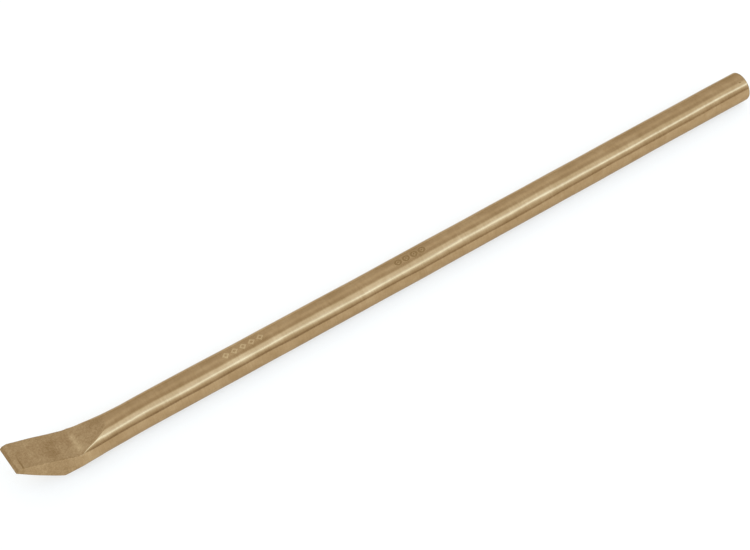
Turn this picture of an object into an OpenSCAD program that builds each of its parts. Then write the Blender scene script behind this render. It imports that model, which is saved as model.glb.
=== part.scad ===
// Pinch-point pry bar: one forged bar of bronze alloy.
// A round shank runs the whole length. One end is cut square and its rim is
// rounded over. At the other end the bar is flattened and turned up into a
// short chisel blade, with a heel under the bend to lever on.
// +X runs from the blade tip to the round end, +Z is the side the blade turns
// up to, and the origin is the middle of the bar's footprint.

/* [Bar] */
// Overall length, from the blade tip to the round end
bar_length = 500; // [350:10:900]
// Diameter of the round shank
bar_dia = 19; // [16:0.5:22]
// Radius on the rim of the round end
end_round = 1.2; // [0.5:0.1:2]

/* [Blade] */
// Width across the blade at its tip
blade_w = 19.9; // [19.6:0.1:24]
// Width across the head at the bend
bend_w = 21.2; // [20.4:0.1:26]
// Width across the neck just behind the bend, where the forging spreads most
neck_w = 22; // [21:0.1:26]
// Length of the blade, from the tip back to the bend
blade_len = 35.2; // [33:0.2:45]
// Angle of the blade's top face above the bar's axis
blade_angle = 24.8; // [22:0.2:28]
// Height of the bend above the bar's axis
bend_height = 6.3; // [5:0.1:7.5]
// Radius of the hollow where the blade's top face meets the flat
bend_radius = 8; // [2:0.5:8]
// Angle of the flat that runs from the bend up to the shank's top
flat_angle = 11; // [8:0.5:14]

/* [Tip and heel] */
// Distance from the tip back to the heel, the point that is levered on
heel_back = 32; // [28:0.2:33]
// Height of the cutting edge above the bar's axis
tip_height = 18.9; // [17:0.1:19.4]
// Length of the small bevel on the cutting edge
edge_bevel = 1.6; // [0.6:0.1:2]
// Width of the narrow level land behind the bevel
land_w = 2.7; // [1.5:0.1:4]
// How far the underside of the blade is crowned outwards
belly_crown = 0.9; // [0.2:0.1:1]
// Radius that softens the heel
heel_round = 2.5; // [1:0.5:5]

/* [Hidden] */
eps = 0.01;
bar_r = bar_dia / 2;
// Tip, end, bend and heel along X
tip_x = -bar_length / 2;
end_x = bar_length / 2;
bend_x = tip_x + blade_len;
heel_x = tip_x + heel_back;
// The forged head starts to spread from the true cylinder here
neck_x = bend_x + 27;
// Heights, with the floor at zero
bend_z = bar_r + bend_height;
edge_z = bar_r + tip_height;
// The bevel rises at about 43 degrees, and the land behind it is nearly level
bevel_x = tip_x + edge_bevel;
bevel_z = edge_z + 0.92 * edge_bevel;
land_x = bevel_x + land_w;
land_z = bend_z + (bend_x - land_x) * tan(blade_angle);
// The crowned underside is an arc through the cutting edge and the heel
belly_len = sqrt(heel_back * heel_back + edge_z * edge_z);
belly_r = (belly_len * belly_len / 4 + belly_crown * belly_crown) / (2 * belly_crown);
belly_a = atan2(edge_z, heel_back);
belly_cx = (tip_x + heel_x) / 2 + (belly_r - belly_crown) * sin(belly_a);
belly_cz = edge_z / 2 + (belly_r - belly_crown) * cos(belly_a);
// Slope of the underside where it reaches the heel, and the heel's rounding
heel_a = belly_a - asin(belly_len / (2 * belly_r));
heel_t = heel_round * tan(heel_a / 2);
// Radius of the lower half of the head, a little fuller than the shank
keel_r = bar_r + 0.25;

// Points of an arc about (cx, cz) in the XZ plane, from angle a0 to a1
function arc(cx, cz, r, a0, a1, n) =
    [for (i = [0:n]) let (a = a0 + (a1 - a0) * i / n) [cx + r * cos(a), cz + r * sin(a)]];

// The underside, from the cutting edge down to where the heel's radius starts
function belly() = arc(belly_cx, belly_cz, belly_r,
    180 + asin((belly_cz - edge_z) / belly_r),
    180 + asin((belly_cz - heel_t * sin(heel_a)) / belly_r), 10);

// The heel's radius, tangent to the underside and to the floor
function heel() = arc(heel_x + heel_t, heel_round, heel_round, 270 - heel_a, 270, 4);

// The hollow at the bend, tangent to the flat and to the blade's top face
function hollow() = let (
        back = bend_radius / cos((blade_angle + flat_angle) / 2),
        lean = (blade_angle - flat_angle) / 2)
    arc(bend_x + back * sin(lean), bend_z + back * cos(lean),
        bend_radius, 270 + flat_angle, 270 - blade_angle, 6);

// Outline of the dressed head seen from the side
module side_outline() {
    polygon(concat(
        belly(), heel(),
        [[heel_x + heel_t + 0.5, -0.2], [neck_x + 3, -0.2]],
        [[neck_x + 3, bend_z + (neck_x + 3 - bend_x) * tan(flat_angle)]],
        hollow(),
        [[land_x, land_z], [bevel_x, bevel_z]]));
}

// One pair of round slices, side by side across the bar
module slice(x, r, y, z) {
    for (s = [-1, 1])
        translate([x, s * y, z])
            rotate([0, 90, 0]) cylinder(r = r, h = eps, $fn = 40);
}

// Section of the neck: the round bar below, spread a little above
module neck_section() {
    slice(bend_x + 7, bar_r, 0, bar_r);
    slice(bend_x + 7, neck_w / 2 - 1.85, 1.85, bar_r + 1.36);
}

// One square slice, for the parts of the head with flat sides
module plate(x, w, z0, z1) {
    translate([x, -w / 2, z0]) cube([eps, w, z1 - z0]);
}

// Section of the head at the bend: round below, spread and upright above
module bend_section() {
    slice(bend_x, keel_r, 0.4, keel_r);
    slice(bend_x, bend_w / 2, 0, bar_r + 3.2);
}

// The spread stock of the head before its top and underside are dressed
module head_stock() {
    // From the round shank out to the neck, and on to the bend
    hull() {
        slice(neck_x, bar_r, 0, bar_r);
        neck_section();
        bend_section();
    }
    // From the bend to the tip, with flat sides
    hull() {
        bend_section();
        plate(tip_x + blade_len / 2, bend_w - 0.6, bar_r + 2, bar_r + 14);
        slice(tip_x, keel_r, blade_w / 2 - keel_r, keel_r);
        plate(tip_x, blade_w, bar_r, edge_z + 4);
    }
}

// Round shank with its square-cut end and rounded rim
module shank() {
    len = end_x - neck_x;
    translate([neck_x, 0, bar_r])
        rotate([0, 90, 0])
            rotate_extrude($fn = 128)
                polygon(concat(
                    [[0, 0], [bar_r, 0]],
                    arc(bar_r - end_round, len - end_round, end_round, 0, 90, 5),
                    [[0, len]]));
}

// Dressed head: the stock trimmed to its side outline
module head() {
    intersection() {
        head_stock();
        rotate([90, 0, 0])
            linear_extrude(height = 60, center = true) side_outline();
    }
}

module bar() {
    color([0.64, 0.54, 0.38]) {
        shank();
        head();
    }
}

bar();
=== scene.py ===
import math
import bpy
import bmesh
import numpy as np
from mathutils import Matrix, Vector


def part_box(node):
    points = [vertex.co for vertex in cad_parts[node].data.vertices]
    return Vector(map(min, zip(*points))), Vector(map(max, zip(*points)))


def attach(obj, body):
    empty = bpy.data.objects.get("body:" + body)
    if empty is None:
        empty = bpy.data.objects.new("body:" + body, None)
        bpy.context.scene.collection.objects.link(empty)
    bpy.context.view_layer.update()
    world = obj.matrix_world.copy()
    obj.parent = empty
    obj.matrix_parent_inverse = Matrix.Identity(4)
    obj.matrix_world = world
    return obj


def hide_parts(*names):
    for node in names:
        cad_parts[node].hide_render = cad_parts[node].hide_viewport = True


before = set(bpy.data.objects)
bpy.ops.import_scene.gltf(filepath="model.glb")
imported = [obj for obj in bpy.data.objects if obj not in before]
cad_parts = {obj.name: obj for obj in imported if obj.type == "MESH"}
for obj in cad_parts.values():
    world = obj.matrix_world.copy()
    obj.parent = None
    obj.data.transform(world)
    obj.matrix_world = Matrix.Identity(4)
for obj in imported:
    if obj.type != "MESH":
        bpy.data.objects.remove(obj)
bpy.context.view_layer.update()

MM = 0.001
lo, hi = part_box("bar")
TIP_X, END_X = lo.x / MM, hi.x / MM          # -250 and 250
R = 9.5                                      # shank radius
BEND_X = TIP_X + 35.2
NECK_X = BEND_X + 27.0
BEND_Z = R + 6.3
EDGE_Z = R + 18.9
HEEL_X = TIP_X + 32.0
RIM = 1.2
RNG = np.random.default_rng(7)


# ------------------------------------------------------------------ outline
def smoothstep(a, b, x):
    t = np.clip((x - a) / (b - a), 0, 1)
    return t * t * (3 - 2 * t)


def rounded_line(points, radii, step=0.05):
    """Open polyline in the XZ plane with its inner corners rounded, as dense points."""
    pts = [np.array(p, float) for p in points]
    out = [pts[0]]
    for i in range(1, len(pts) - 1):
        p, a, b = pts[i], pts[i - 1], pts[i + 1]
        u, v = (a - p) / np.linalg.norm(a - p), (b - p) / np.linalg.norm(b - p)
        half = math.acos(np.clip(u @ v, -1, 1)) / 2
        r = radii[i - 1]
        t = min(r / math.tan(half), 0.48 * np.linalg.norm(a - p), 0.48 * np.linalg.norm(b - p))
        s, e = p + u * t, p + v * t
        for k in np.linspace(0, 1, 15):      # a quadratic corner is close to the arc
            out.append((1 - k) ** 2 * s + 2 * k * (1 - k) * p + k * k * e)
    out.append(pts[-1])
    out = np.array(out)
    d = np.r_[0, np.cumsum(np.linalg.norm(np.diff(out, axis=0), axis=1))]
    q = np.arange(0, d[-1], step)
    return np.stack([np.interp(q, d, out[:, 0]), np.interp(q, d, out[:, 1])], 1)


tan = lambda a: math.tan(math.radians(a))
bevel = (TIP_X + 1.6, EDGE_Z + 0.92 * 1.6)
land = (TIP_X + 4.3, BEND_Z + (35.2 - 4.3) * tan(24.8))
TOP = rounded_line(
    [(TIP_X, EDGE_Z + 0.12), bevel, land, (BEND_X, BEND_Z), (NECK_X + 20, BEND_Z + 47 * tan(11))],
    [0.5, 0.55, 8.0])

chord = math.hypot(32.0, EDGE_Z)
crown = 0.9
br = (chord ** 2 / 4 + crown ** 2) / (2 * crown)
ba = math.atan2(EDGE_Z, 32.0)
bcx = (TIP_X + HEEL_X) / 2 + (br - crown) * math.sin(ba)
bcz = EDGE_Z / 2 + (br - crown) * math.cos(ba)
a0 = math.pi + math.asin((bcz - EDGE_Z) / br)
a1 = math.pi + math.asin(bcz / br)
BELLY = [(bcx + br * math.cos(a), bcz + br * math.sin(a)) for a in np.linspace(a0, a1, 12)]
BOTTOM = rounded_line(BELLY + [(NECK_X + 20, 0.0)], [60.0] * 10 + [3.0])
BOTTOM[:, 1] = np.maximum(BOTTOM[:, 1], 0.0)


def z_top(x):
    return np.interp(x, TOP[:, 0], TOP[:, 1], right=99)


def z_bot(x):
    return np.interp(x, BOTTOM[:, 0], BOTTOM[:, 1], right=-99)


# ------------------------------------------------------------------ sections
# Stations along the head. The forged stock is the hull of the round bar and, above it, two circles
# side by side (centre at +-Y and up by Z, radius P); U lifts the upper quadrant on upright sides,
# and F is the half width of the blade between its ground side flats.
STOCK_X = [-250, -226, -220, -217.7, -214.8, -213, -211.5, -208.2, -205, -202.4, -198, -194, -188, -182]
STOCK_Y = [1.20, 1.45, 1.62, 1.72, 1.80, 1.85, 1.86, 1.85, 1.75, 1.58, 1.20, 0.80, 0.30, 0.0]
STOCK_Z = [0.60, 1.00, 1.20, 1.25, 1.30, 1.35, 1.36, 1.36, 1.33, 1.29, 1.05, 0.75, 0.30, 0.0]
STOCK_P = [9.25, 9.40, 9.45, 9.43, 9.36, 9.28, 9.22, 9.15, 9.13, 9.13, 9.16, 9.25, 9.42, 9.5]
STOCK_U = [40, 28, 13, 8.0, 4.6, 2.7, 1.9, 1.36, 1.33, 1.29, 1.05, 0.75, 0.30, 0.0]
FLAT_X = [-250, -245.7, -236.9, -226.2, -217.7, -214.8, -212, -209, -205, -180]
FLAT_W = [9.88, 9.93, 10.08, 10.22, 10.44, 10.62, 10.85, 11.2, 12, 20]
PHI = np.linspace(0, math.pi, 721)


def soft_interp(x, xp, fp, w=1.5):
    return float(np.mean([np.interp(x + d, xp, fp) for d in np.linspace(-w, w, 9)]))


def half_width(x, z):
    """Half the width of the forged stock at height z, before its top and underside are dressed."""
    yc, zc, p, zu = (soft_interp(x, STOCK_X, f) for f in (STOCK_Y, STOCK_Z, STOCK_P, STOCK_U))
    zu = max(zu, zc)
    upper = yc * np.sin(PHI) + zc * np.cos(PHI) + p
    h = np.maximum(upper, R)
    pad = np.concatenate([h[60:0:-1], h, h[-2:-62:-1]])      # soften where the circles meet
    ker = np.exp(-0.5 * (np.arange(-60, 61) / 14.0) ** 2)
    h = np.convolve(pad, ker / ker.sum(), "valid")
    dh = np.gradient(h, PHI)
    ys = h * np.sin(PHI) + dh * np.cos(PHI)
    zs = np.minimum.accumulate(h * np.cos(PHI) - dh * np.sin(PHI))
    q = z - R
    q = np.where(q > zu, q - (zu - zc), np.where(q > zc, zc, q))
    w = np.interp(q, zs[::-1], ys[::-1])
    return np.minimum(w, soft_interp(x, FLAT_X, FLAT_W)), R + zu + p


def section(x, n):
    """Closed section at x as n points (y, z), from the top centre round by +Y, with edge distances."""
    top_round = half_width(x, np.array([R]))[1]
    zt, zb = min(float(z_top(x)), top_round - 1e-4), max(float(z_bot(x)), 0.0)
    if zt - zb < 0.12:
        m = (zt + zb) / 2
        zt, zb = m + 0.06, m - 0.06
    u = np.linspace(0, 1, 900)
    z = zt + (zb - zt) * (1 - np.cos(math.pi * u)) / 2
    y, _ = half_width(x, z)
    half = [np.stack([np.linspace(0, y[0], 60)[:-1], np.full(59, zt)], 1), np.stack([y, z], 1)]
    if y[-1] > 1e-6:
        half.append(np.stack([np.linspace(y[-1], 0, 60)[1:], np.full(59, zb)], 1))
    half = np.concatenate(half)
    full = np.concatenate([half, half[::-1][1:-1] * np.array([-1, 1])])
    d = np.r_[0, np.cumsum(np.linalg.norm(np.diff(np.vstack([full, full[:1]]), axis=0), axis=1))]
    m = 1600
    q = np.arange(m) * d[-1] / m
    full = np.vstack([full, full[:1]])
    p = np.stack([np.interp(q, d, full[:, 0]), np.interp(q, d, full[:, 1])], 1)
    step = d[-1] / m
    soft = float(np.interp(x, [TIP_X, TIP_X + 1, BEND_X - 3, BEND_X + 1, BEND_X + 14], [0.05, 0.13, 0.13, 0.30, 0.34]))
    f = np.fft.rfftfreq(m, d=step)
    g = np.exp(-2 * (math.pi * f * soft) ** 2)
    p = np.stack([np.fft.irfft(np.fft.rfft(p[:, k]) * g, m) for k in (0, 1)], 1)
    e = (np.roll(p, -1, 0) - np.roll(p, 1, 0)) / 2
    e /= np.linalg.norm(e, axis=1)[:, None] + 1e-12
    turn = np.abs(np.cross(np.roll(e, 1, 0), np.roll(e, -1, 0))) / (2 * step)
    turn = np.minimum(turn, 3.0)
    wgt = 1 + 2.2 * np.maximum(turn - 0.16, 0)
    c = np.r_[0, np.cumsum(wgt)]
    q = np.arange(n) * c[-1] / n
    i = np.interp(q, c, np.arange(m + 1))
    idx = i.astype(int) % m
    fr = (i - np.floor(i))[:, None]
    pts = p[idx] * (1 - fr) + p[(idx + 1) % m] * fr
    edge = np.interp(i, np.arange(m + 1), np.r_[turn, turn[0]])
    return pts, np.clip((edge - 0.25) / 1.2, 0, 1)


# ------------------------------------------------------------------ stations
N = 256
xs = [TIP_X]
def run(to, step):
    n = max(1, int(round((to - xs[-1]) / step)))
    xs.extend(np.linspace(xs[-1], to, n + 1)[1:])
run(TIP_X + 0.3, 0.06)
run(TIP_X + 6, 0.15)
run(BEND_X - 8, 0.45)
run(BEND_X + 12, 0.35)
run(NECK_X + 10, 0.7)
run(-124, 2.2)
run(-92, 0.26)
run(-9, 2.4)
run(17, 0.26)
run(END_X - 6.5, 2.5)
run(END_X - RIM, 0.45)
for a in np.linspace(0, 90, 9)[1:]:
    xs.append(END_X - RIM + RIM * math.sin(math.radians(a)))
xs = np.array(xs)

co, ridge, dressed, uv_v = [], [], [], []
for x in xs:
    if x <= NECK_X + 12:
        p, e = section(x, N)
        on_top = smoothstep(-0.25, -0.02, p[:, 1] - float(z_top(x))) if x < NECK_X else np.zeros(N)
        on_low = smoothstep(0.3, 0.05, p[:, 1] - float(z_bot(x))) if x < HEEL_X + 1 else np.zeros(N)
        side = smoothstep(9.3, 9.8, np.abs(p[:, 0])) * float(smoothstep(BEND_X + 4, BEND_X - 6, x))
        g = np.clip(on_top + on_low + side, 0, 1)
    else:
        a = math.pi / 2 - np.arange(N) * 2 * math.pi / N
        r = R
        if x > END_X - RIM:
            r = R - RIM + math.sqrt(max(RIM ** 2 - (x - END_X + RIM) ** 2, 0))
        p = np.stack([r * np.cos(a), R + r * np.sin(a)], 1)
        e, g = np.zeros(N), np.zeros(N)
    co.append(np.column_stack([np.full(N, x), p]))
    ridge.append(e)
    dressed.append(g)
co = np.array(co)                        # stations x N x 3, in mm
ridge, dressed = np.array(ridge), np.array(dressed)
# the edge weight drives a painted dark line along the edges; it is kept ahead of the bend
ridge *= smoothstep(BEND_X + 1, BEND_X - 3, co[:, :, 0])

# ------------------------------------------------------------------ hand-dressed unevenness
th = np.arctan2(-co[:, :, 1], co[:, :, 2] - R)           # 0 at the top, growing towards -Y
X, Y, Z = co[:, :, 0], co[:, :, 1], co[:, :, 2]
wave = np.zeros_like(X)
for _ in range(46):
    m = RNG.integers(1, 8)
    lam = RNG.uniform(28, 160)
    wave += RNG.normal() * (0.042 / m) * np.cos(m * th + RNG.uniform(0, 6.283)) * np.cos(
        2 * math.pi * X / lam + RNG.uniform(0, 6.283))
for _ in range(30):
    m = RNG.integers(6, 16)
    lam = RNG.uniform(12, 60)
    wave += RNG.normal() * (0.018 / m) * np.cos(m * th + RNG.uniform(0, 6.283)) * np.cos(
        2 * math.pi * X / lam + RNG.uniform(0, 6.283))
# the near side of the shank leans a little one way and the other along its length
lean = np.interp(X, [-96, -56, -20, 15, 84, 130, 153], [0, 0.50, 0.38, 0.68, 0.68, 0.15, 0])
u_l = (th - np.radians(np.interp(X, [-54, 15], [50, 60]))) / 0.33
wave += lean * 0.33 * u_l * np.exp(-u_l ** 2 / 2)
shank_w = smoothstep(BEND_X + 8, NECK_X + 10, X) * smoothstep(END_X - 0.2, END_X - 2.5, X)
faces = np.zeros_like(X)
for _ in range(40):
    ang = RNG.uniform(0, math.pi)
    lam = RNG.uniform(5, 22)
    faces += RNG.normal() * 0.0011 * lam * np.cos(
        2 * math.pi * (X * math.cos(ang) + (Y + 0.6 * Z) * math.sin(ang)) / lam + RNG.uniform(0, 6.283))
head_w = smoothstep(NECK_X + 14, BEND_X + 4, X) * smoothstep(TIP_X, TIP_X + 3, X)
disp = wave * shank_w + faces * 0.55 * head_w
# The bar isn't quite straight or quite round: its axis wanders towards the upper far side, and its
# width across that direction varies, both in mm along the bar
BOW_X = [-196, -188, -182, -174, -160, -140, -124, -108, -94, -70, -45, -25, 0, 40, 70, 95, 120, 160, 200, 245]
BOW = [0, 0.20, 0.38, 0.43, 0.42, 0.32, 0.19, 0.07, 0.06, 0.05, -0.02, -0.10, -0.04, -0.06, -0.01, 0.12, 0.19,
       0.21, 0.25, 0.28]
WIDEN = [0, 0.02, 0.08, 0.08, 0.10, 0.10, 0.07, -0.01, -0.03, -0.04, -0.06, -0.12, -0.04, -0.06, -0.08, -0.13,
         -0.15, -0.16, -0.20, -0.24]
BOW_AT = math.radians(-52.6)


def along_bar(x, v, w=8.0):
    return np.mean([np.interp(x + d, BOW_X, v) for d in np.linspace(-w, w, 17)], axis=0)


disp += along_bar(X, BOW) * np.cos(th - BOW_AT) + along_bar(X, WIDEN) * np.cos(th - BOW_AT) ** 2
# where the far side of the head runs out into the shank
disp += np.mean([np.interp(X + d, [-222, -216, -208, -200, -194, -188], [0, 0.08, 0.02, -0.26, -0.17, 0])
                 for d in np.linspace(-4, 4, 9)], axis=0) * np.maximum(np.cos(th - BOW_AT), 0) ** 2

# ------------------------------------------------------------------ plain punched marks on the top line
stamp = np.zeros_like(X)
arc_y = R * th                                            # distance round the bar from the top line
def lozenge(cx, cy, a, b):
    d = np.abs(X - cx) / a + np.abs(arc_y - cy) / b
    return smoothstep(1.10, 0.90, d)
def dot(cx, cy, r):
    d = np.hypot(X - cx, arc_y - cy)
    return smoothstep(r * 1.15, r * 0.7, d)
def ring(cx, cy, r, w):
    d = np.abs(np.hypot(X - cx, arc_y - cy) - r)
    return smoothstep(w * 0.62, w * 0.34, d)
for i in range(5):
    stamp = np.maximum(stamp, lozenge(-118.5 + i * 5.5, 0.0, 2.3, 2.2) * (1 - lozenge(-118.5 + i * 5.5, 0.0, 0.95, 0.9)))
stamp_tone_and_shade = 0.75 * stamp
rings = np.zeros_like(X)
for i in range(4):
    rings = np.maximum(rings, ring(-4.0 + i * 5.4, 0.0, 1.75, 1.0))
    rings = np.maximum(rings, dot(-4.0 + i * 5.4, 0.0, 0.55))
# painted shade: the ring marks are darkened inside
stamp_tone_and_shade -= 0.85 * rings
stamp = np.maximum(stamp, rings)
disp -= 0.20 * stamp
# one small pit near the round end
pit = smoothstep(0.6, 0.25, np.hypot(X - 245.4, arc_y - 3.7))
stamp_tone_and_shade -= 1.6 * pit
disp -= 0.14 * pit

# colour of the dressed head, largely painted light: painted shade on the steep cutting bevel, a painted highlight on
# the land, a painted shadow line in the crease behind it, a painted highlight in the hollow of the bend, painted light
# on the head's top and side faces, and real stains on the blade
top_side = smoothstep(-1.2, -0.5, Z - np.interp(X, TOP[:, 0], TOP[:, 1]))
def hump(v, c, w):
    return np.exp(-0.5 * ((v - c) / w) ** 2)
wob = 0.25 * np.sin(Y * 0.9 + 1.0) + 0.2 * np.sin(Y * 2.3)
# painted shade: the steep cutting bevel at the tip is darkened
tone_and_painted_light = -0.22 * smoothstep(TIP_X + 2.0, TIP_X + 1.3, X) * top_side
# painted light: the top face of the head is lightened, more so away from the tip
tone_and_painted_light += (0.10 + 0.13 * smoothstep(TIP_X + 5, TIP_X + 12, X)) * smoothstep(BEND_X + 19, BEND_X + 8, X) * top_side
# painted highlight on the land between the cutting bevel and the crease
tone_and_painted_light += 0.16 * smoothstep(TIP_X + 1.5, TIP_X + 2.2, X) * smoothstep(TIP_X + 4.6, TIP_X + 3.9, X) * top_side
# painted shadow: a dark line in the crease behind the land, at its near end
tone_and_painted_light -= 0.9 * hump(X, TIP_X + 4.65 + 0.1 * wob, 0.28) * smoothstep(-1.5, -6.5, Y) * top_side
# painted highlight: a light band across the hollow of the bend
tone_and_painted_light += (0.72 - 0.03 * (3 - Y)) * hump(X, BEND_X + 1.3 - 0.03 * Y + 0.5 * wob, 1.25) * smoothstep(7.5, 3.0, Y) * smoothstep(-9.4, -6.5, Y) * top_side
d1 = np.hypot((X + 226.4) / 3.4, (Y - 2.4) / 3.2)
d2 = np.hypot((X + 226.7) / 3.4, (Y + 4.4) / 3.2)
tone_and_painted_light += stamp_tone_and_shade
tone_and_painted_light -= (0.36 * np.exp(-d1 ** 2) + 0.38 * np.exp(-d2 ** 2)) * top_side
# painted light: the side faces of the head are lightened, fading out near the tip and behind the bend
tone_and_painted_light += 0.16 * smoothstep(NECK_X, BEND_X + 4, X) * smoothstep(TIP_X + 2, TIP_X + 14, X) * smoothstep(8.8, 9.8, np.abs(Y)) * (1 - top_side)
# a fine groove behind the land at its near end
disp -= 0.07 * hump(X, TIP_X + 4.65 + 0.1 * wob, 0.2) * smoothstep(-1.5, -6.5, Y) * top_side

# move each point along its section's normal
nxt, prv = np.roll(co, -1, 1), np.roll(co, 1, 1)
tng = (nxt - prv)[:, :, 1:]
nrm = np.stack([-tng[:, :, 1], tng[:, :, 0]], 2)
nrm /= np.linalg.norm(nrm, axis=2)[:, :, None] + 1e-9
out = np.stack([co[:, :, 1], co[:, :, 2] - co[:, :, 2].mean(1, keepdims=True)], 2)
flip = np.sign((nrm * out).sum(2).sum(1))[:, None, None]
nrm *= np.where(flip == 0, 1, flip)
co[:, :, 1:] += nrm * disp[:, :, None]
co[:, :, 2] = np.maximum(co[:, :, 2], -0.02)
# the cutting edge was ground a little out of square
co[:, :, 0] -= 0.045 * (co[:, :, 1] + 9.9) * smoothstep(TIP_X + 16, TIP_X + 2, X)

# ------------------------------------------------------------------ mesh
S = len(xs)
verts = list(map(tuple, (co.reshape(-1, 3) * MM)))
quads = []
for i in range(S - 1):
    a, b = i * N, (i + 1) * N
    for j in range(N):
        k = (j + 1) % N
        quads.append((a + j, b + j, b + k, a + k))
# round end: flat rings towards the centre
last = (S - 1) * N
prev = last
ang = math.pi / 2 - np.arange(N) * 2 * math.pi / N
r_end = R - RIM
end_bow, end_wide = float(along_bar(END_X, BOW)), float(along_bar(END_X, WIDEN))
attr_ridge = list(ridge.ravel())
attr_dress = list(dressed.ravel())
attr_stamp = list(stamp.ravel())
attr_tone_and_painted_light = list(tone_and_painted_light.ravel())
for r in np.linspace(r_end, 0.35, 12)[1:]:
    start = len(verts)
    for a in ang:
        t_a = math.atan2(-math.cos(a), math.sin(a))
        grow = end_wide * math.cos(t_a - BOW_AT) ** 2 * r / r_end + r
        verts.append((END_X * MM, (grow * math.cos(a) - end_bow * math.sin(BOW_AT)) * MM,
                      (R + grow * math.sin(a) + end_bow * math.cos(BOW_AT)) * MM))
        attr_ridge.append(0.0); attr_dress.append(0.0); attr_stamp.append(0.0); attr_tone_and_painted_light.append(0.0)
    for j in range(N):
        k = (j + 1) % N
        quads.append((prev + j, start + j, start + k, prev + k))
    prev = start
quads.append(tuple(range(prev, prev + N)))
quads.append(tuple(reversed(range(0, N))))

me = bpy.data.meshes.new("pry_bar_forging")
me.from_pydata(verts, [], quads)
me.update()
bm = bmesh.new()
bm.from_mesh(me)
bmesh.ops.recalc_face_normals(bm, faces=bm.faces)
for f in bm.faces:
    f.smooth = True
bm.to_mesh(me)
bm.free()
for name, values in (("ridge", attr_ridge), ("dressed", attr_dress), ("stamp", attr_stamp),
                     ("tone", attr_tone_and_painted_light)):
    at = me.attributes.new(name, "FLOAT", "POINT")
    at.data.foreach_set("value", np.array(values, np.float32))
grain = me.uv_layers.new(name="grain")
vi = np.zeros(len(me.loops), np.int32)
me.loops.foreach_get("vertex_index", vi)
vc = np.zeros(len(me.vertices) * 3, np.float32)
me.vertices.foreach_get("co", vc)
vc = vc.reshape(-1, 3)
ring_pos = (np.arange(len(me.vertices)) % N) / N
lp = np.zeros((len(me.loops), 2), np.float32)
lp[:, 0] = vc[vi, 0] * 8
lp[:, 1] = ring_pos[vi]
starts = np.zeros(len(me.polygons), np.int32)
totals = np.zeros(len(me.polygons), np.int32)
me.polygons.foreach_get("loop_start", starts)
me.polygons.foreach_get("loop_total", totals)
for s, t in zip(starts, totals):
    xv = vc[vi[s:s + t], 0]
    if xv.max() - xv.min() < 1e-5:       # end faces: the grain runs up and down
        lp[s:s + t, 0] = vc[vi[s:s + t], 2] * 8
        lp[s:s + t, 1] = vc[vi[s:s + t], 1] * 8
    elif t == 4:                         # close the seam of the wrapped direction
        v = lp[s:s + 4, 1]
        if v.max() - v.min() > 0.5:
            v[v < 0.5] += 1.0
grain.data.foreach_set("uv", lp.ravel())

bar = bpy.data.objects.new("pry_bar_forging", me)
bpy.context.scene.collection.objects.link(bar)
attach(bar, "root")
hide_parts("bar")


# ------------------------------------------------------------------ material
def node(nt, kind, **props):
    n = nt.nodes.new(kind)
    for k, v in props.items():
        if k in n.inputs.keys():
            n.inputs[k].default_value = v
        else:
            setattr(n, k, v)
    return n


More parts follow.
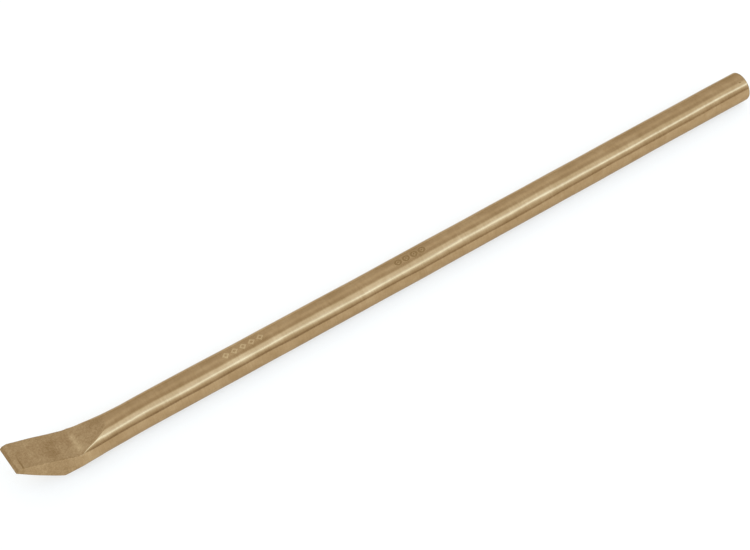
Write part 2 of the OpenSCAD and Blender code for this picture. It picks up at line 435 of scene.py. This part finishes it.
def bronze():
    mat = bpy.data.materials.new("ground_bronze")
    mat.use_nodes = True
    nt = mat.node_tree
    nt.nodes.clear()
    L = nt.links.new
    outn = node(nt, "ShaderNodeOutputMaterial")
    b = node(nt, "ShaderNodeBsdfPrincipled")
    L(b.outputs["BSDF"], outn.inputs["Surface"])
    b.inputs["Metallic"].default_value = 1.0
    b.inputs["Specular Tint"].default_value = (0.72, 0.66, 0.58, 1)
    b.inputs["Anisotropic"].default_value = 0.85
    tangent = node(nt, "ShaderNodeTangent", direction_type="UV_MAP")
    tangent.uv_map = "grain"
    L(tangent.outputs["Tangent"], b.inputs["Tangent"])

    tc = node(nt, "ShaderNodeTexCoord")
    mm = node(nt, "ShaderNodeMapping")
    mm.inputs["Scale"].default_value = (1000, 1000, 1000)
    L(tc.outputs["Object"], mm.inputs["Vector"])

    def noise(scale_xyz, detail=2.0, rough=0.5, distortion=0.0, offset=(0, 0, 0)):
        mp = node(nt, "ShaderNodeMapping")
        mp.inputs["Scale"].default_value = scale_xyz
        mp.inputs["Location"].default_value = offset
        L(mm.outputs["Vector"], mp.inputs["Vector"])
        n = node(nt, "ShaderNodeTexNoise")
        n.inputs["Scale"].default_value = 1.0
        n.inputs["Detail"].default_value = detail
        n.inputs["Roughness"].default_value = rough
        n.inputs["Distortion"].default_value = distortion
        L(mp.outputs["Vector"], n.inputs["Vector"])
        return n.outputs["Fac"]

    def math_(op, a, c=None, clamp=False):
        m = node(nt, "ShaderNodeMath", operation=op)
        m.use_clamp = clamp
        for i, v in enumerate((a, c)):
            if v is None:
                continue
            if isinstance(v, (int, float)):
                m.inputs[i].default_value = v
            else:
                L(v, m.inputs[i])
        return m.outputs[0]

    def remap(v, a0, a1, b0, b1):
        m = node(nt, "ShaderNodeMapRange")
        m.inputs["From Min"].default_value = a0
        m.inputs["From Max"].default_value = a1
        m.inputs["To Min"].default_value = b0
        m.inputs["To Max"].default_value = b1
        L(v, m.inputs["Value"])
        return m.outputs["Result"]

    def attr(name):
        a = node(nt, "ShaderNodeAttribute")
        a.attribute_name = name
        return a.outputs["Fac"]

    fine = noise((3.2, 0.16, 0.16), detail=3.0, rough=0.6)            # belt marks across the bar
    coarse = noise((1.5, 0.08, 0.08), detail=3.0, rough=0.55, offset=(3, 7, 1))
    mottle = noise((0.16, 0.16, 0.16), detail=4.0, rough=0.6, distortion=0.4)
    blotch = noise((0.055, 0.10, 0.10), detail=3.0, rough=0.55, offset=(11, 5, 2))
    speck = noise((2.2, 2.2, 2.2), detail=2.0, rough=0.6, offset=(1, 2, 3))
    dressed_a, ridge_a, stamp_a, tone_and_painted_light_in = attr("dressed"), attr("ridge"), attr("stamp"), attr("tone")
    edge_shade_dots = noise((0.6, 0.6, 0.6), detail=2.0, rough=0.6, offset=(4, 9, 6))
    grit = noise((0.85, 0.85, 0.85), detail=2.0, rough=0.65, offset=(8, 3, 5))

    # colour: dark to light bronze by several scales of marks, with painted light and shade from the tone attribute and
    # a painted dark line along the head's edges
    v = math_("ADD", math_("MULTIPLY", remap(mottle, 0.3, 0.7, -1, 1), 0.14),
              math_("MULTIPLY", remap(blotch, 0.3, 0.7, -1, 1), 0.18))
    v = math_("ADD", v, math_("MULTIPLY", remap(fine, 0.25, 0.75, -1, 1), 0.13))
    v = math_("ADD", v, math_("MULTIPLY", remap(coarse, 0.3, 0.7, -1, 1), 0.07))
    # the tone attribute brings in painted light and shade on the head, stains and punched marks
    v = math_("ADD", v, tone_and_painted_light_in)
    v = math_("ADD", v, 0.5)
    v = math_("SUBTRACT", v, math_("MULTIPLY", dressed_a, math_("MULTIPLY", remap(speck, 0.35, 0.75, 0, 1), 0.30)))
    v = math_("ADD", v, math_("MULTIPLY", dressed_a, math_("MULTIPLY", remap(grit, 0.35, 0.65, -1, 1), 0.22)))
    # painted shade: a dotted dark line along the sharp edges of the head
    v = math_("SUBTRACT", v, math_("MULTIPLY", ridge_a, remap(edge_shade_dots, 0.42, 0.60, 0.0, 1.25)))
    v = math_("MULTIPLY", v, 0.6, clamp=True)
    ramp = node(nt, "ShaderNodeValToRGB")
    ramp.color_ramp.interpolation = "LINEAR"
    el = ramp.color_ramp.elements
    el[0].position, el[0].color = 0.0, (0.318, 0.203, 0.090, 1)
    el[1].position, el[1].color = 1.0, (0.70, 0.535, 0.30, 1)
    mid = el.new(0.3)
    mid.color = (0.421, 0.281, 0.143, 1)
    light = el.new(0.6)
    light.color = (0.53, 0.378, 0.205, 1)
    L(v, ramp.inputs["Fac"])
    L(ramp.outputs["Color"], b.inputs["Base Color"])

    # roughness: polished round, satin dressed faces
    r = math_("ADD", 0.205, math_("MULTIPLY", dressed_a, 0.19))
    r = math_("ADD", r, math_("MULTIPLY", remap(mottle, 0.3, 0.7, -1, 1), 0.025))
    r = math_("ADD", r, math_("MULTIPLY", remap(fine, 0.25, 0.75, -1, 1), 0.035))
    r = math_("ADD", r, math_("MULTIPLY", stamp_a, 0.12))
    L(r, b.inputs["Roughness"])

    # marks across the bar, deeper on the dressed faces, and across the sawn end
    endface = noise((0.0, 4.5, 0.25), detail=3.0, rough=0.6)
    geo = node(nt, "ShaderNodeNewGeometry")
    sep = node(nt, "ShaderNodeSeparateXYZ")
    L(geo.outputs["Normal"], sep.inputs["Vector"])
    is_end = remap(sep.outputs["X"], 0.75, 0.95, 0, 1)
    h = math_("MULTIPLY", math_("ADD", fine, math_("MULTIPLY", coarse, 0.8)), math_("ADD", 0.55, math_("MULTIPLY", dressed_a, 0.6)))
    h = math_("ADD", h, math_("MULTIPLY", math_("MULTIPLY", speck, dressed_a), 0.35))
    mix = node(nt, "ShaderNodeMix", data_type="FLOAT")
    L(is_end, mix.inputs["Factor"])
    L(h, mix.inputs["A"])
    L(endface, mix.inputs["B"])
    bump = node(nt, "ShaderNodeBump")
    bump.inputs["Strength"].default_value = 0.20
    bump.inputs["Distance"].default_value = 0.00002
    L(mix.outputs["Result"], bump.inputs["Height"])
    L(bump.outputs["Normal"], b.inputs["Normal"])
    return mat


me.materials.append(bronze())

# ------------------------------------------------------------------ studio
floor_me = bpy.data.meshes.new("studio_floor")
s = 12.0
floor_me.from_pydata([(-s, -s, -0.0002), (s, -s, -0.0002), (s, s, -0.0002), (-s, s, -0.0002)], [], [(0, 1, 2, 3)])
floor = bpy.data.objects.new("studio_floor", floor_me)
bpy.context.scene.collection.objects.link(floor)
fm = bpy.data.materials.new("pale_floor")
fm.use_nodes = True
fb = fm.node_tree.nodes["Principled BSDF"]
fb.inputs["Base Color"].default_value = (0.50, 0.475, 0.445, 1)
fb.inputs["Roughness"].default_value = 0.9
fb.inputs["Specular IOR Level"].default_value = 0.1
fb.inputs["Emission Color"].default_value = (0.97, 1, 1, 1)
fb.inputs["Emission Strength"].default_value = 0.54
floor_me.materials.append(fm)

# World: soft strips of light along the bar, by the angle round the bar's axis
world = bpy.data.worlds.new("studio")
bpy.context.scene.world = world
world.use_nodes = True
wt = world.node_tree
wt.nodes.clear()
WL = wt.links.new


def wmath(op, *args):
    m = wt.nodes.new("ShaderNodeMath")
    m.operation = op
    for i, v in enumerate(args):
        if isinstance(v, (int, float)):
            m.inputs[i].default_value = v
        else:
            WL(v, m.inputs[i])
    return m.outputs[0]


wo = wt.nodes.new("ShaderNodeOutputWorld")
bg = wt.nodes.new("ShaderNodeBackground")
WL(bg.outputs[0], wo.inputs["Surface"])
wc = wt.nodes.new("ShaderNodeTexCoord")
ws = wt.nodes.new("ShaderNodeSeparateXYZ")
WL(wc.outputs["Generated"], ws.inputs[0])
theta = wmath("ARCTAN2", wmath("MULTIPLY", ws.outputs["Y"], -1.0), ws.outputs["Z"])
TOPV = 4.0
TONES = [(90, (0.46, 0.42, 0.36)), (110, (0.62, 0.57, 0.49)), (120, (0.70, 0.66, 0.56)), (128, (0.76, 0.724, 0.66)),
         (135, (0.838, 0.841, 0.838)), (150, (1.007, 1.063, 1.074)), (162, (1.14, 1.244, 1.29)),
         (174, (1.30, 1.459, 1.635)), (185, (1.452, 1.693, 2.03)), (196, (1.57, 1.94, 2.56)),
         (213, (1.78, 2.38, 3.40)), (235, (2.1, 2.9, 4.0))]


def tone(v):
    """Radiance of a strip, cooler as it gets brighter."""
    xs_ = [t[0] for t in TONES]
    return tuple(float(np.interp(v, xs_, [t[1][k] for t in TONES])) for k in range(3))


def strips(stops):
    """Colour ramp over the angle from straight up towards -Y, from -180 to 180 degrees."""
    wr = wt.nodes.new("ShaderNodeValToRGB")
    wr.color_ramp.interpolation = "LINEAR"
    els = wr.color_ramp.elements
    for i, (deg, val) in enumerate((stops[0], stops[-1])):
        els[i].position = float(i)
        els[i].color = tuple(v / TOPV for v in tone(val)) + (1,)
    for deg, val in stops[1:-1]:
        e = els.new((deg + 180) / 360)
        e.color = tuple(v / TOPV for v in tone(val)) + (1,)
    WL(wmath("ADD", wmath("DIVIDE", theta, 2 * math.pi), 0.5), wr.inputs["Fac"])
    return wr.outputs["Color"]


FAR = [(-180, 135), (-96, 128), (-88, 130), (-70, 134), (-45, 135), (-34, 137), (-26, 139), (-18, 139), (-10, 134)]
NEAR = [(75, 132), (79, 105), (90, 94), (100, 110), (180, 135)]
NEAR_ROUND = [(75, 134), (79, 116), (90, 107), (100, 116), (180, 135)]
blade_end = strips(FAR + [(-2, 131), (6, 131), (12, 148), (16, 178), (21, 185), (34, 185), (39, 192), (43, 200),
                          (53, 198), (57, 176), (64, 150), (70, 141)] + NEAR)
round_end = strips(FAR + [(-2, 134), (7, 135), (12, 146), (17, 158), (34, 161), (38, 178), (42, 205), (50, 200),
                          (54, 172), (59, 152), (66, 143), (71, 138)] + NEAR_ROUND)
along = wt.nodes.new("ShaderNodeMapRange")
along.interpolation_type = "SMOOTHSTEP"
along.inputs["From Min"].default_value = 0.27
along.inputs["From Max"].default_value = 0.46
WL(ws.outputs["X"], along.inputs["Value"])


def mix_colour(fac, a, b2):
    m = wt.nodes.new("ShaderNodeMix")
    m.data_type = "RGBA"
    ins = [i for i in m.inputs if i.type == "RGBA"]
    WL(fac, m.inputs[0])
    for sock, v in zip(ins, (a, b2)):
        if isinstance(v, tuple):
            sock.default_value = v
        else:
            WL(v, sock)
    return [o for o in m.outputs if o.type == "RGBA"][0]


strips_colour = mix_colour(along.outputs["Result"], blade_end, round_end)
# a soft round light on the far side, off the bar's blade end
dn = wt.nodes.new("ShaderNodeVectorMath")
dn.operation = "DOT_PRODUCT"
WL(wc.outputs["Generated"], dn.inputs[0])
dn.inputs[1].default_value = Vector((0.33, 0.44, 0.84)).normalized()
spot = wt.nodes.new("ShaderNodeMapRange")
spot.interpolation_type = "SMOOTHSTEP"
spot.inputs["From Min"].default_value = math.cos(math.radians(17))
spot.inputs["From Max"].default_value = math.cos(math.radians(5))
WL(dn.outputs["Value"], spot.inputs["Value"])
strength = wmath("ADD", TOPV, wmath("MULTIPLY", spot.outputs["Result"], 0.12 * TOPV))
# the camera sees the plain pale backdrop
lpn = wt.nodes.new("ShaderNodeLightPath")
WL(mix_colour(lpn.outputs["Is Camera Ray"], strips_colour, (1.05 / TOPV,) * 3 + (1,)), bg.inputs["Color"])
WL(strength, bg.inputs["Strength"])

# Key strip light over the near side
la = bpy.data.lights.new("key_strip", "AREA")
la.shape = "RECTANGLE"
la.size, la.size_y = 2.4, 0.13
la.energy = 0.9
la.color = (0.60, 0.84, 1.0)
key = bpy.data.objects.new("key_strip", la)
bpy.context.scene.collection.objects.link(key)
ka = math.radians(47)
kp = Vector((0.0, -1.25 * math.sin(ka), 1.25 * math.cos(ka)))
key.location = kp
zax = kp.normalized()
xax = Vector((1, 0, 0))
yax = zax.cross(xax)
key.matrix_world = Matrix.Translation(kp) @ Matrix((xax, yax, zax)).transposed().to_4x4()

# ------------------------------------------------------------------ camera
cam_d = bpy.data.cameras.new("camera")
cam_d.sensor_fit = "HORIZONTAL"
cam_d.sensor_width = 36.0
cam_d.lens = 36.0 * 1739.0 / 750.0
cam_d.clip_start = 0.05
cam_d.clip_end = 60
cam = bpy.data.objects.new("camera", cam_d)
bpy.context.scene.collection.objects.link(cam)
right = Vector((0.84101, -0.53364, -0.08907))
down = Vector((-0.45734, -0.61326, -0.64402))
fwd = Vector((0.28906, 0.58236, -0.75981))
cam.matrix_world = Matrix.Translation(Vector((-308.08, -580.92, 776.43)) * MM) @ Matrix(
    (right, -down, -fwd)).transposed().to_4x4()
bpy.context.scene.camera = cam

vs = bpy.context.scene.view_settings
vs.view_transform = "Standard"
vs.look = "None"
vs.exposure = 0.0
vs.gamma = 1.0
